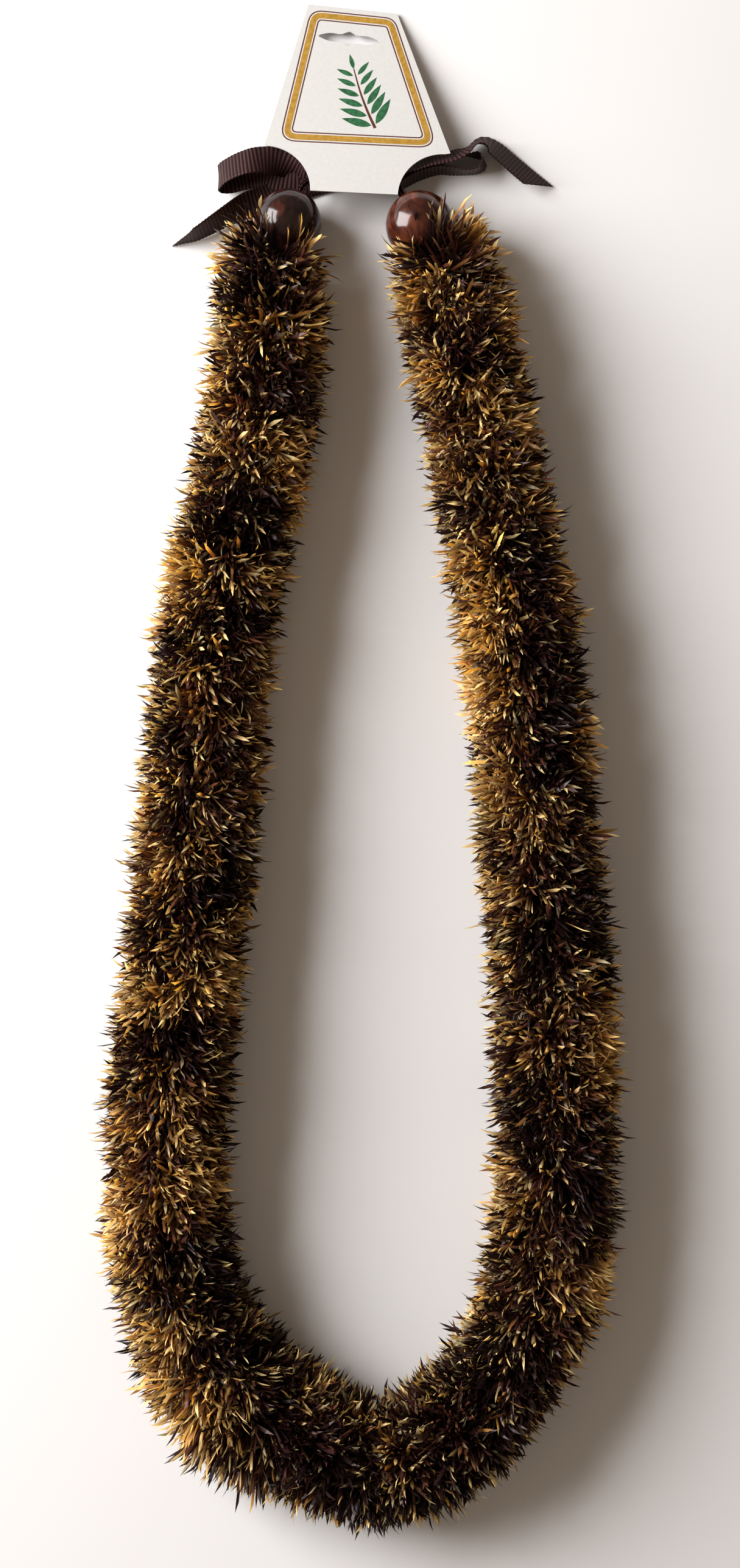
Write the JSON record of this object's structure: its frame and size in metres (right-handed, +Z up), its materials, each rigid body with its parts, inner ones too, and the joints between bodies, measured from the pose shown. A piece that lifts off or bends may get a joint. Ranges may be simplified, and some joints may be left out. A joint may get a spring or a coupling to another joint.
{
  "type": "yarn lei",
  "caption": "Long fringed yarn garland lying flat, closed by two drilled beads on a ribbon bow, with a notched card under the tie.",
  "frame": {"origin": "middle of the lei's outline, on the surface that it lies on", "axes": "+Z up from the surface, +Y along the lei from its closed curve towards the beads, bow and card, +X to the right as the picture shows it"},
  "size_m": [0.1868, 0.554, 0.0398],
  "materials": {
    "fringe_yarn": "satin",
    "cord_yarn": "matt",
    "nut_dark": "polished",
    "nut_red": "polished",
    "grosgrain": "matt",
    "paper": "matt"
  },
  "bodies": {
    "root": {"fringe_01": "fringe_yarn", "fringe_02": "fringe_yarn", "fringe_03": "fringe_yarn", "fringe_04": "fringe_yarn", "fringe_05": "fringe_yarn", "fringe_06": "fringe_yarn", "fringe_07": "fringe_yarn", "fringe_08": "fringe_yarn", "fringe_09": "fringe_yarn", "fringe_10": "fringe_yarn", "fringe_11": "fringe_yarn", "fringe_12": "fringe_yarn", "fringe_13": "fringe_yarn", "fringe_14": "fringe_yarn", "base_cord": "cord_yarn", "bead_left": "nut_dark", "bead_right": "nut_red", "ribbon_bow": "grosgrain", "card": "paper"}
  },
  "joints": []
}
